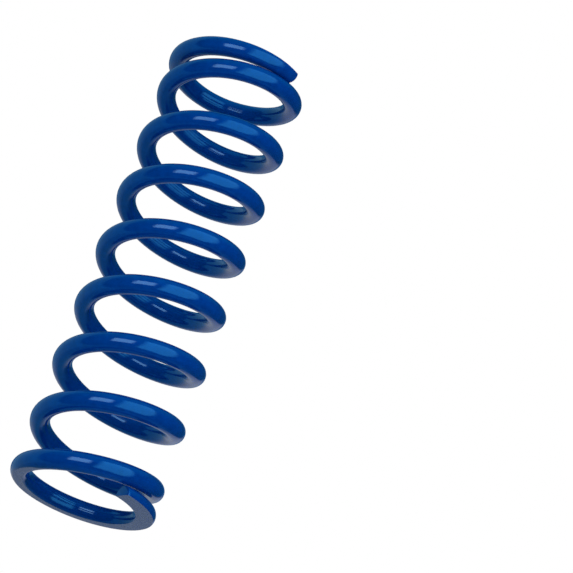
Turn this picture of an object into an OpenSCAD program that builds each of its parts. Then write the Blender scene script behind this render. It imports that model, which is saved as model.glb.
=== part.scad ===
// Coilover spring: one length of round steel wire, wound right-handed into a straight coil.
// The turn at each end closes onto its neighbour and is ground flat, square to the axis.
// The axis is Z, and the lower ground face lies in the plane Z = 0.

/* [Coil] */
// Free length, from one ground face to the other
free_len = 355.6; // [200:0.1:450]
// Inside diameter of the coil
inner_d = 78.2; // [50:0.1:110]
// Diameter of the wire
wire_d = 14.3; // [10:0.1:18]
// Turns of wire, from tip to tip
turns = 9.05; // [5:0.01:12]

/* [Ends] */
// Angle of the lower tip about the axis, from +X
tip_angle = -57; // [-180:1:180]
// Depth ground off the wire along the closed turn
grind_depth = 1.2; // [0.4:0.1:3]
// Thickness of wire left at the tip
tip_t = 7.5; // [5:0.1:9]
// Part of a turn over which the wire thins down to the lower tip
lower_tip_turns = 0.5; // [0.25:0.01:0.6]
// Part of a turn over which the wire thins down to the upper tip
upper_tip_turns = 0.3; // [0.25:0.01:0.6]
// Gap between the tip and the turn that passes over it
tip_gap = 0.3; // [0.2:0.1:3]
// Part of a turn over which the wire bends from the closed turn to the full pitch
bend_turns = 0.38; // [0.2:0.01:0.5]
// Bevel around the cut end of the wire
tip_bevel = 0.8; // [0.2:0.1:1.5]

/* [Hidden] */
// Flat sides around the wire, and rings of points along each turn
wire_sides = 16;
turn_rings = 36;
wire_r = wire_d / 2;
coil_r = inner_d / 2 + wire_r;
turn_len = 2 * PI * coil_r;
// Height of the wire's centre over the ground face along the closed turn
seat_z = wire_r - grind_depth;
// Drop of the wire's centre from there to the tip
tip_drop = seat_z + wire_r - tip_t;
// Steepest lead angle that the wire could take between the closed turns
lead_max = atan2(free_len / (turns - 2), turn_len);
// Rise of the wire's centre, from the closed turn to where it passes over the tip
pass_rise = (wire_d + tip_gap) / cos(lead_max) - tip_drop;
// Rise of a free turn
pitch = (free_len - 2 * (seat_z + pass_rise)) / (turns - 2);
// Turns over which each tip thins, never so few that it would be steeper than the turn beside it
tip_run_min = 2 * tip_drop / pitch;
lower_run = max(lower_tip_turns, tip_run_min);
upper_run = max(upper_tip_turns, tip_run_min);
// Turns from the tip to the start of the bend
bend_start = 1 - pass_rise / pitch - bend_turns / 2;
// Turns taken up by the bevel of the cut end
bevel_turns = tip_bevel / turn_len;
// Width of the blocks that stand for the stock ground off the ends
grind_w = 2 * (coil_r + wire_d);

// How far along the bend the wire is, n turns from a tip, from 0 to 1
function bend_done(n) = min(max((n - bend_start) / bend_turns, 0), 1);

// Share of the full pitch at which the wire climbs there
function pitch_share(n) =
    let (t = bend_done(n))
    t * t * (3 - 2 * t);

// Turns of full pitch climbed from the tip to there, the sum of those shares
function climb(n) =
    let (t = bend_done(n))
    bend_turns * (pow(t, 3) - pow(t, 4) / 2) + max(n - bend_start - bend_turns, 0);

// How much of a thinned tip is left ahead, n turns from it, from 1 to 0
function tip_ahead(n, run) = max(1 - n / run, 0);

// Height of the wire's centre, n turns from the lower tip
function wire_z(n) =
    seat_z
    + pitch * (climb(n) + climb(turns) - climb(turns - n) - n)
    + tip_drop * pow(tip_ahead(turns - n, upper_run), 2)
    - tip_drop * pow(tip_ahead(n, lower_run), 2);

// Rise per turn there
function wire_rise(n) =
    pitch * (pitch_share(n) + pitch_share(turns - n) - 1)
    + 2 * tip_drop * tip_ahead(turns - n, upper_run) / upper_run
    + 2 * tip_drop * tip_ahead(n, lower_run) / lower_run;

// Radius of the wire there, less at the bevelled ends
function section_r(n) = wire_r - max(tip_bevel - turn_len * min(n, turns - n), 0);

// Ring of points around the wire there, square to its run
function ring(n) =
    let (
        turn = tip_angle + 360 * n,
        lead = atan2(wire_rise(n), turn_len),
        r = section_r(n)
    )
    [for (k = [0 : wire_sides - 1])
        let (
            out = r * cos(360 * k / wire_sides),
            up = r * sin(360 * k / wire_sides)
        )
        [
            (coil_r + out) * cos(turn) + up * sin(lead) * sin(turn),
            (coil_r + out) * sin(turn) - up * sin(lead) * cos(turn),
            wire_z(n) + up * cos(lead)
        ]
    ];

// Round wire swept along the coil, before its ends are ground
module wire() {
    steps = round(turns * turn_rings);
    ring_turns = [
        0,
        bevel_turns,
        for (i = [1 : steps - 1]) turns * i / steps,
        turns - bevel_turns,
        turns
    ];
    last = len(ring_turns) - 1;
    sides = [
        for (i = [0 : last - 1])
            for (k = [0 : wire_sides - 1])
                let (
                    a = i * wire_sides + k,
                    b = i * wire_sides + (k + 1) % wire_sides
                )
                each [[a, b, b + wire_sides], [a, b + wire_sides, a + wire_sides]]
    ];
    lower_end = [for (k = [1 : wire_sides]) wire_sides - k];
    upper_end = [for (k = [0 : wire_sides - 1]) last * wire_sides + k];
    polyhedron(
        points = [for (n = ring_turns) each ring(n)],
        faces = concat([lower_end], sides, [upper_end])
    );
}

// Block of the stock that grinding takes off, standing on height z
module ground_off(z) {
    translate([-grind_w / 2, -grind_w / 2, z])
        cube([grind_w, grind_w, wire_d]);
}

module coil_spring() {
    color("mediumblue")
        difference() {
            wire();
            ground_off(-wire_d);
            ground_off(free_len);
        }
}

coil_spring();
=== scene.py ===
"""Coilover spring: a coil of round wire with ground ends and a blue powder coat, set on its lower end."""
import math

import bpy
import numpy as np
from mathutils import Matrix, Vector


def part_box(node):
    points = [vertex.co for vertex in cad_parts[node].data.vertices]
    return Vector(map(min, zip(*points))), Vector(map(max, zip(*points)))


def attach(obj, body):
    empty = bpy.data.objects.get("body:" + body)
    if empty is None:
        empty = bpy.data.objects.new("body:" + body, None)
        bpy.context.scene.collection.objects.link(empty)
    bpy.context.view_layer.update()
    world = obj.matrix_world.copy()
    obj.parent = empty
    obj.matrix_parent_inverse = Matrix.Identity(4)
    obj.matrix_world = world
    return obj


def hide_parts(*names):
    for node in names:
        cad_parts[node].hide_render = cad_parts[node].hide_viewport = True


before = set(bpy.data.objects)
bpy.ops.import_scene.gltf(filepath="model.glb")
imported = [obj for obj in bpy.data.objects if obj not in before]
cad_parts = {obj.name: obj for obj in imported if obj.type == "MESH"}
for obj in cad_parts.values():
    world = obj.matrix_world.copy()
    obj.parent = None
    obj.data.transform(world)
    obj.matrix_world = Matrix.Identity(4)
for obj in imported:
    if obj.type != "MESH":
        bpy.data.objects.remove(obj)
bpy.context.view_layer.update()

# Spring, in metres and turns
SPRING_LOW, SPRING_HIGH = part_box("coil_spring")
FREE_LEN = SPRING_HIGH.z - SPRING_LOW.z
INNER_D = 0.0782
WIRE_D = 0.0143
TURNS = 9.05
TIP_ANGLE = math.radians(-57)
GRIND_DEPTH = 0.0012
TIP_THICKNESS = 0.0075
LOWER_TIP_TURNS = 0.5
UPPER_TIP_TURNS = 0.3
TIP_GAP = 0.0003
BEND_TURNS = 0.38
TIP_BEVEL = 0.0008

WIRE_R = WIRE_D / 2
COIL_R = INNER_D / 2 + WIRE_R
TURN_LEN = 2 * math.pi * COIL_R
# Height of the wire's centre over a ground face, its drop towards the tip, and its rise to pass over the tip
SEAT_Z = WIRE_R - GRIND_DEPTH
TIP_DROP = SEAT_Z + WIRE_R - TIP_THICKNESS
LEAD_MAX = math.atan2(FREE_LEN / (TURNS - 2), TURN_LEN)
PASS_RISE = (WIRE_D + TIP_GAP) / math.cos(LEAD_MAX) - TIP_DROP
# Rise of a free turn, and turns from a tip to the start of the bend
PITCH = (FREE_LEN - 2 * (SEAT_Z + PASS_RISE)) / (TURNS - 2)
BEND_START = 1 - PASS_RISE / PITCH - BEND_TURNS / 2

# Fineness of the surface
TURN_RINGS = 96
BEVEL_RINGS = 5
FLAT_POINTS = 4
SIDE_POINTS = 16
SHARP_ANGLE = math.radians(28)
# Half width of the strip kept for the ground face, and of its broken edge, as angles about the wire
STRIP_ANGLE = 0.2
EDGE_ANGLE = 0.05

# Coat: its two depths of blue, and its gloss
DEEP_BLUE = (0.0, 0.0245, 0.176, 1)
LIGHT_BLUE = (0.0, 0.0325, 0.217, 1)
COAT_ROUGHNESS = (0.05, 0.08)
COAT_IOR = 1.5
COAT_SPECULAR = 0.9
COAT_TINT = (0.15, 0.52, 1.0, 1)
# Ground faces: the height within which they count, their added roughness, and the share of a paler grain
# that is partly a painted glint of reflected light
GROUND_REACH = 0.00003
GROUND_ROUGHNESS = 0.12
GRAIN_AND_GLINT_BLUE = (0.2, 0.36, 0.95, 1)
GRAIN_AND_GLINT_SHARE = (0.03, 0.34)
# Grains to the metre of the coat's noises, the part of their range that shows, and the height of the bumps
DEPTH_GRAINS = 240
PEEL_GRAINS = 420
PALE_GRAINS = 600
FINE_GRAINS = 1500
NOISE_RANGE = (0.3, 0.7)
PALE_RANGE = (0.5, 0.72)
PEEL_HEIGHT = 0.00003
FINE_HEIGHT = 0.00001

# Camera, in degrees and metres, aimed near the middle of the spring
CAMERA_ELEVATION = -23.22
CAMERA_PAN = 3.27
CAMERA_TILT = 0.25
CAMERA_ROLL = -20.41
CAMERA_DISTANCE = 1.5652
PHOTO_SIDE = 573
FOCAL_PIXELS = 2154.7
SENSOR = 36.0

# Lamps: angle round the spring from the camera to the right, height of the middle, distance, size and level
KEY_TURN = math.radians(-19.5)
KEY_HEIGHT = FREE_LEN / 2 - 0.035
KEY_DISTANCE = 1.2
KEY_SIZE = (0.77, 0.91)
KEY_LEVEL = 5.35
KEY_COLOUR = (1.0, 0.67, 0.59)
FILL_TURN = math.radians(35)
FILL_HEIGHT = FREE_LEN / 2 - 0.025
FILL_DISTANCE = 0.7
FILL_SIZE = (0.82, 1.7)
FILL_LEVEL = 1.87
FILL_COLOUR = (0.37, 0.93, 1.0)
# Share of a lamp's width and height over which its light fades out at each edge
LAMP_BORDER = 0.155

# Level of the room's even light
ROOM_LEVEL = 0.43
WHITE = (1, 1, 1, 1)
# Walls that the gloss shows, as shares of a turn from the left past the front, the right and the back
REFLECTOR = (0.13, 0.5, 0.62, 1)
FRONT = (0.01, 0.1, 0.16, 1)
DARK = (0.01, 0.07, 0.03, 1)
BACKDROP = (0.46, 0.5, 0.55, 1)
BACKDROP_TOP = (0.03, 0.14, 0.27, 1)
SIDE = (0.19, 0.41, 0.56, 1)
FRONT_WALLS = ((0.01, REFLECTOR), (0.025, FRONT), (0.35, FRONT), (0.44, DARK), (0.672, DARK))
SIDE_WALLS = ((0.84, SIDE), (0.98, REFLECTOR))
LOW_WALLS = FRONT_WALLS + ((0.69, BACKDROP), (0.79, BACKDROP)) + SIDE_WALLS
HIGH_WALLS = FRONT_WALLS + ((0.69, BACKDROP_TOP), (0.81, BACKDROP_TOP)) + SIDE_WALLS
# Heights of a direction, as sines, between which the low walls go over to the high ones
WALL_FADE = (0.04, 0.24)
# Ceiling and underside: the way each faces, and the cosines to it between which the walls go over to it
CEILING = (0.01, 0.44, 0.7, 1)
CEILING_SLOPE = (0, -0.35, 0.94)
CEILING_FADE = (0.4, 1)
UNDERSIDE = (0.06, 0.28, 0.4, 1)
UNDERSIDE_SLOPE = (0, 0.4, -0.92)
UNDERSIDE_FADE = (0.62, 0.85)

# Floor: its radius, and the radius from which it fades out
FLOOR_R = 0.7
FLOOR_FADE_R = FLOOR_R / 3
FLOOR_SIDES = 96
FLOOR_COLOUR = (0.97, 0.93, 0.92, 1)
FLOOR_ROUGHNESS = 0.9


def bend_done(n):
    """Share of the bend passed n turns from a tip: (n - start) / length, kept between 0 and 1."""
    return np.clip((n - BEND_START) / BEND_TURNS, 0, 1)


def pitch_share(n):
    """Share of the full pitch n turns from a tip: 3 t^2 - 2 t^3 of the bend passed."""
    t = bend_done(n)
    return t * t * (3 - 2 * t)


def climb(n):
    """Turns of full pitch climbed n turns from a tip: the integral of the pitch share."""
    t = bend_done(n)
    return BEND_TURNS * (t**3 - t**4 / 2) + np.maximum(n - BEND_START - BEND_TURNS, 0)


def tip_ahead(n, length):
    """Share of a thinned tip still ahead n turns from it: 1 - n / length, never below 0."""
    return np.maximum(1 - n / length, 0)


def wire_height(n):
    """Height of the wire's centre n turns from the lower tip.

    It is the seat height plus the pitch times the turns climbed. Each tip goes past that, into its ground
    face, by the drop times the square of the share of the tip still ahead.
    """
    climbed = climb(n) + climb(np.array(TURNS)) - climb(TURNS - n) - n
    lower = tip_ahead(n, LOWER_TIP_TURNS)
    upper = tip_ahead(TURNS - n, UPPER_TIP_TURNS)
    return SEAT_Z + PITCH * climbed + TIP_DROP * (upper**2 - lower**2)


def wire_lead(n):
    """Lead angle of the wire: arc tangent of its rise per turn over the length of a turn."""
    rise = PITCH * (pitch_share(n) + pitch_share(TURNS - n) - 1)
    lower = tip_ahead(n, LOWER_TIP_TURNS) / LOWER_TIP_TURNS
    upper = tip_ahead(TURNS - n, UPPER_TIP_TURNS) / UPPER_TIP_TURNS
    return np.arctan2(rise + 2 * TIP_DROP * (lower + upper), TURN_LEN)


def ring_turns():
    """Turns at which rings stand: even steps, and 1 - cosine of even angles along the bevel of each end."""
    arc = np.linspace(0, math.pi / 2, BEVEL_RINGS)
    bevel = TIP_BEVEL * (1 - np.cos(arc)) / TURN_LEN
    steps = round(TURNS * TURN_RINGS)
    run = np.linspace(0, TURNS, steps + 1)[1:-1]
    return np.concatenate([bevel, run, (TURNS - bevel)[::-1]])


def wire_radius(n):
    """Radius of the wire: full, and rounded by a quarter circle within the bevel of each end."""
    short = np.maximum(TIP_BEVEL - TURN_LEN * np.minimum(n, TURNS - n), 0)
    return WIRE_R - TIP_BEVEL + np.sqrt(TIP_BEVEL**2 - short**2)


def strip_angle(reach, radius):
    """Angle about the wire, from straight down or up, where its circle crosses a plane at that reach."""
    return np.arccos(np.minimum(reach / radius, math.cos(STRIP_ANGLE)))


def coil_points():
    """The spring's surface: circles square to a helix, cut short at the planes of both ground faces.

    A ring at n turns stands at angle tip + 2 pi n. Its points run round the wire from straight down, through
    the outside, the top and the inside, and their angles keep the ground faces' edges on rows of points.
    """
    n = ring_turns()
    turn = TIP_ANGLE + 2 * math.pi * n
    lead = wire_lead(n)
    height = wire_height(n)
    radius = wire_radius(n)
    down = height / np.cos(lead)
    up = (FREE_LEN - height) / np.cos(lead)
    low = strip_angle(down, radius)[:, None]
    high = strip_angle(up, radius)[:, None]
    across = np.linspace(-1, 1, 2 * FLAT_POINTS + 1)[None]
    along = np.linspace(0, 1, SIDE_POINTS)[None]
    side = low + EDGE_ANGLE + along * (math.pi - low - high - 2 * EDGE_ANGLE)
    angle = np.hstack([
        across * (low - EDGE_ANGLE),
        side,
        math.pi + across * (high - EDGE_ANGLE),
        2 * math.pi - side[:, ::-1],
    ])
    outward = radius[:, None] * np.sin(angle)
    upward = np.clip(-radius[:, None] * np.cos(angle), -down[:, None], up[:, None])
    forward = -upward * np.sin(lead)[:, None]
    sin, cos = np.sin(turn)[:, None], np.cos(turn)[:, None]
    x = (COIL_R + outward) * cos - forward * sin
    y = (COIL_R + outward) * sin + forward * cos
    z = height[:, None] + upward * np.cos(lead)[:, None]
    return np.stack([x, y, z], axis=-1)


def tube_faces(rings, points):
    """Quads between neighbouring rings, closed round the tube, and one flat face at each end."""
    ring = np.arange(rings - 1)[:, None] * points
    here = np.arange(points)[None]
    after = (here + 1) % points
    quads = np.stack([ring + here, ring + points + here, ring + points + after, ring + after], axis=-1)
    first = np.arange(points)
    last = (rings - 1) * points + first[::-1]
    return quads.reshape(-1, 4).tolist() + [first.tolist(), last.tolist()]


def coil_piece(finish):
    """The coil as one closed mesh, smooth along the wire and sharp at the ground and cut edges."""
    points = coil_points()
    rings, around, _ = points.shape
    mesh = bpy.data.meshes.new("spring_coil")
    mesh.from_pydata(points.reshape(-1, 3), [], tube_faces(rings, around))
    mesh.polygons.foreach_set("use_smooth", np.ones(len(mesh.polygons), bool))
    mesh.set_sharp_from_angle(angle=SHARP_ANGLE)
    mesh.materials.append(finish)
    mesh.update()
    piece = bpy.data.objects.new("spring_coil", mesh)
    bpy.context.scene.collection.objects.link(piece)
    return piece


def link(tree, source, target):
    """Joins an output socket to an input socket."""
    tree.links.new(source, target)


def noise(tree, place, grains, detail, roughness=0.5):
    """A noise of so many grains to the metre, read at the piece's own coordinates."""
    node = tree.nodes.new("ShaderNodeTexNoise")
    node.inputs["Scale"].default_value = grains
    node.inputs["Detail"].default_value = detail
    node.inputs["Roughness"].default_value = roughness
    link(tree, place, node.inputs["Vector"])
    return node.outputs["Fac"]


def mapped(tree, value, low, high, to_low, to_high):
    """A value moved from one range to another, and kept inside it."""
    node = tree.nodes.new("ShaderNodeMapRange")
    for name, number in zip(("From Min", "From Max", "To Min", "To Max"), (low, high, to_low, to_high)):
        node.inputs[name].default_value = number
    link(tree, value, node.inputs["Value"])
    return node.outputs["Result"]


def bump(tree, height, distance, normal=None):
    """A bump of that height in metres, over another one where given."""
    node = tree.nodes.new("ShaderNodeBump")
    node.inputs["Strength"].default_value = 1
    node.inputs["Distance"].default_value = distance
    link(tree, height, node.inputs["Height"])
    if normal is not None:
        link(tree, normal, node.inputs["Normal"])
    return node.outputs["Normal"]


def combined(tree, operation, first, second):
    """Two values joined by a plain operation."""
    node = tree.nodes.new("ShaderNodeMath")
    node.operation = operation
    link(tree, first, node.inputs[0])
    link(tree, second, node.inputs[1])
    return node.outputs["Value"]


def mixed(tree, share, first, second):
    """One colour going over to another by a share. Each is an output or a plain colour."""
    node = tree.nodes.new("ShaderNodeMix")
    node.data_type = "RGBA"
    link(tree, share, node.inputs["Factor"])
    for name, colour in (("A", first), ("B", second)):
        socket = next(i for i in node.inputs if i.name == name and i.type == "RGBA")
        if isinstance(colour, tuple):
            socket.default_value = colour
        else:
            link(tree, colour, socket)
    return next(o for o in node.outputs if o.type == "RGBA")


def ground_share(tree, place):
    """One on the two ground faces and nothing elsewhere, told by the height along the spring."""
    parts = tree.nodes.new("ShaderNodeSeparateXYZ")
    link(tree, place, parts.inputs["Vector"])
    height = parts.outputs["Z"]
    low = mapped(tree, height, GROUND_REACH, 2 * GROUND_REACH, 1, 0)
    high = mapped(tree, height, FREE_LEN - 2 * GROUND_REACH, FREE_LEN - GROUND_REACH, 0, 1)
    return combined(tree, "MAXIMUM", low, high)


def blue_coat():
    """Glossy blue powder coat: slightly uneven in depth, with orange peel and a fine grain.

    On the ground faces it is duller, and mottled with a paler grain that is partly a painted glint of
    reflected light.
    """
    material = bpy.data.materials.new("blue_coat")
    material.use_nodes = True
    tree = material.node_tree
    shader = tree.nodes["Principled BSDF"]
    place = tree.nodes.new("ShaderNodeTexCoord").outputs["Object"]
    ground = ground_share(tree, place)
    grain = noise(tree, place, FINE_GRAINS, detail=2)
    depth = mapped(tree, noise(tree, place, DEPTH_GRAINS, detail=3), *NOISE_RANGE, 0, 1)
    mottle = noise(tree, place, PALE_GRAINS, detail=2, roughness=0.7)
    grain_and_glint = mapped(tree, mottle, *PALE_RANGE, *GRAIN_AND_GLINT_SHARE)
    colour = mixed(tree, depth, DEEP_BLUE, LIGHT_BLUE)
    # Ground faces: a paler blue mixed in by a noise, partly grain and partly a painted glint of reflected
    # light
    colour = mixed(tree, combined(tree, "MULTIPLY", ground, grain_and_glint), colour, GRAIN_AND_GLINT_BLUE)
    link(tree, colour, shader.inputs["Base Color"])
    gloss = mapped(tree, grain, *NOISE_RANGE, *COAT_ROUGHNESS)
    dull = mapped(tree, ground, 0, 1, 0, GROUND_ROUGHNESS)
    link(tree, combined(tree, "ADD", gloss, dull), shader.inputs["Roughness"])
    peel = bump(tree, noise(tree, place, PEEL_GRAINS, detail=1), PEEL_HEIGHT)
    link(tree, bump(tree, grain, FINE_HEIGHT, peel), shader.inputs["Normal"])
    shader.inputs["IOR"].default_value = COAT_IOR
    shader.inputs["Specular IOR Level"].default_value = COAT_SPECULAR
    shader.inputs["Specular Tint"].default_value = COAT_TINT
    return material


def camera_axes():
    """The camera's backward axis at its elevation, and its three axes once rolled, tilted and panned."""
    elevation = math.radians(CAMERA_ELEVATION)
    back = Vector((0, -math.cos(elevation), math.sin(elevation)))
    right = Vector((1, 0, 0))
    level = Matrix((right, back.cross(right), back))
    roll = Matrix.Rotation(math.radians(CAMERA_ROLL), 3, "Z")
    tilt = Matrix.Rotation(math.radians(CAMERA_TILT), 3, "X")
    pan = Matrix.Rotation(math.radians(CAMERA_PAN), 3, "Y")
    return back, pan @ tilt @ roll @ level


def aimed(place, axes):
    """World matrix of an object at that place, with the three axes as its own."""
    matrix = axes.transposed().to_4x4()
    matrix.translation = place
    return matrix


def add_camera(middle):
    """Camera at its distance from the spring's middle."""
    data = bpy.data.cameras.new("camera")
    data.sensor_width = SENSOR
    data.lens = FOCAL_PIXELS / PHOTO_SIDE * SENSOR
    camera = bpy.data.objects.new("camera", data)
    back, axes = camera_axes()
    camera.matrix_world = aimed(middle + back * CAMERA_DISTANCE, axes)
    bpy.context.scene.collection.objects.link(camera)
    bpy.context.scene.camera = camera


def soft_edges(tree, along):
    """Light along one side of a lamp: it rises over the border at one end and falls over it at the other."""
    rise = mapped(tree, along, 0, LAMP_BORDER, 0, 1)
    fall = mapped(tree, along, 1 - LAMP_BORDER, 1, 1, 0)
    return combined(tree, "MULTIPLY", rise, fall)


def add_softbox(name, place, size, level, colour):
    """Upright rectangular lamp with soft edges that faces the spring's axis.

    Its power is its level times pi times its area.
    """
    data = bpy.data.lights.new(name, "AREA")
    data.shape = "RECTANGLE"
    data.size, data.size_y = size
    data.energy = level * math.pi * size[0] * size[1]
    data.color = colour
    data.use_nodes = True
    tree = data.node_tree
    spot = tree.nodes.new("ShaderNodeSeparateXYZ")
    link(tree, tree.nodes.new("ShaderNodeNewGeometry").outputs["Parametric"], spot.inputs["Vector"])
    across = soft_edges(tree, spot.outputs["X"])
    upward = soft_edges(tree, spot.outputs["Y"])
    link(tree, combined(tree, "MULTIPLY", across, upward), tree.nodes["Emission"].inputs["Strength"])
    turn, height, distance = place
    back = Vector((math.sin(turn), -math.cos(turn), 0))
    up = Vector((0, 0, 1))
    lamp = bpy.data.objects.new(name, data)
    lamp.matrix_world = aimed(distance * back + height * up, Matrix((up.cross(back), up, back)))
    lamp.visible_camera = False
    bpy.context.scene.collection.objects.link(lamp)


def walls(tree, angle, stops):
    """Colours of the walls round the room."""
    node = tree.nodes.new("ShaderNodeValToRGB")
    link(tree, angle, node.inputs["Fac"])
    marks = node.color_ramp.elements
    while len(marks) < len(stops):
        marks.new(0.5)
    for mark, (place, colour) in zip(marks, stops):
        mark.position = place
        mark.color = colour
    return node.outputs["Color"]


def towards(tree, direction, slope):
    """How nearly a direction points along a slope: the cosine between them."""
    node = tree.nodes.new("ShaderNodeVectorMath")
    node.operation = "DOT_PRODUCT"
    node.inputs[1].default_value = slope
    link(tree, direction, node.inputs[0])
    return node.outputs["Value"]


def add_room():
    """White to the camera, an even low light to the coat, and the room's walls in its gloss."""
    world = bpy.data.worlds.new("room")
    world.use_nodes = True
    bpy.context.scene.world = world
    tree = world.node_tree
    direction = tree.nodes.new("ShaderNodeTexCoord").outputs["Generated"]
    angle = tree.nodes.new("ShaderNodeTexGradient")
    angle.gradient_type = "RADIAL"
    link(tree, direction, angle.inputs["Vector"])
    height = tree.nodes.new("ShaderNodeSeparateXYZ")
    link(tree, direction, height.inputs["Vector"])
    overhead = towards(tree, direction, CEILING_SLOPE)
    beneath = towards(tree, direction, UNDERSIDE_SLOPE)
    low = walls(tree, angle.outputs["Fac"], LOW_WALLS)
    high = walls(tree, angle.outputs["Fac"], HIGH_WALLS)
    room = mixed(tree, mapped(tree, height.outputs["Z"], *WALL_FADE, 0, 1), low, high)
    room = mixed(tree, mapped(tree, overhead, *CEILING_FADE, 0, 1), room, CEILING)
    room = mixed(tree, mapped(tree, beneath, *UNDERSIDE_FADE, 0, 1), room, UNDERSIDE)
    seen = tree.nodes.new("ShaderNodeLightPath")
    gloss = seen.outputs["Is Glossy Ray"]
    clear = combined(tree, "MAXIMUM", seen.outputs["Is Camera Ray"], seen.outputs["Is Transmission Ray"])
    shown = combined(tree, "MAXIMUM", clear, gloss)
    light = tree.nodes["Background"]
    link(tree, mixed(tree, gloss, WHITE, room), light.inputs["Color"])
    link(tree, mapped(tree, shown, 0, 1, ROOM_LEVEL, 1), light.inputs["Strength"])


def pale_floor():
    """Pale floor that fades out away from the spring, and is open to a camera or lamp below it."""
    material = bpy.data.materials.new("pale_floor")
    material.use_nodes = True
    tree = material.node_tree
    shader = tree.nodes["Principled BSDF"]
    shader.inputs["Base Color"].default_value = FLOOR_COLOUR
    shader.inputs["Roughness"].default_value = FLOOR_ROUGHNESS
    place = tree.nodes.new("ShaderNodeTexCoord").outputs["Object"]
    reach = tree.nodes.new("ShaderNodeVectorMath")
    reach.operation = "LENGTH"
    link(tree, place, reach.inputs[0])
    fade = mapped(tree, reach.outputs["Value"], FLOOR_FADE_R, FLOOR_R, 0, 1)
    side = tree.nodes.new("ShaderNodeNewGeometry").outputs["Backfacing"]
    clear = tree.nodes.new("ShaderNodeBsdfTransparent")
    mix = tree.nodes.new("ShaderNodeMixShader")
    link(tree, combined(tree, "MAXIMUM", fade, side), mix.inputs["Fac"])
    link(tree, shader.outputs["BSDF"], mix.inputs[1])
    link(tree, clear.outputs["BSDF"], mix.inputs[2])
    link(tree, mix.outputs["Shader"], tree.nodes["Material Output"].inputs["Surface"])
    return material


def add_floor():
    """Round floor at the spring's lower face: points at even angles on a circle. It blocks no lamp."""
    turn = np.linspace(0, 2 * math.pi, FLOOR_SIDES, endpoint=False)
    rim = np.stack([FLOOR_R * np.cos(turn), FLOOR_R * np.sin(turn), 0 * turn], axis=-1)
    mesh = bpy.data.meshes.new("floor")
    mesh.from_pydata(rim, [], [list(range(FLOOR_SIDES))])
    mesh.materials.append(pale_floor())
    floor = bpy.data.objects.new("floor", mesh)
    floor.visible_glossy = False
    floor.visible_shadow = False
    bpy.context.scene.collection.objects.link(floor)


coil = coil_piece(blue_coat())
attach(coil, "root")
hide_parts("coil_spring")

spring_middle = Vector((0, 0, FREE_LEN / 2))
add_camera(spring_middle)
add_softbox("key_softbox", (KEY_TURN, KEY_HEIGHT, KEY_DISTANCE), KEY_SIZE, KEY_LEVEL, KEY_COLOUR)
add_softbox("fill_softbox", (FILL_TURN, FILL_HEIGHT, FILL_DISTANCE), FILL_SIZE, FILL_LEVEL, FILL_COLOUR)
add_room()
add_floor()
bpy.context.scene.view_settings.view_transform = "Standard"
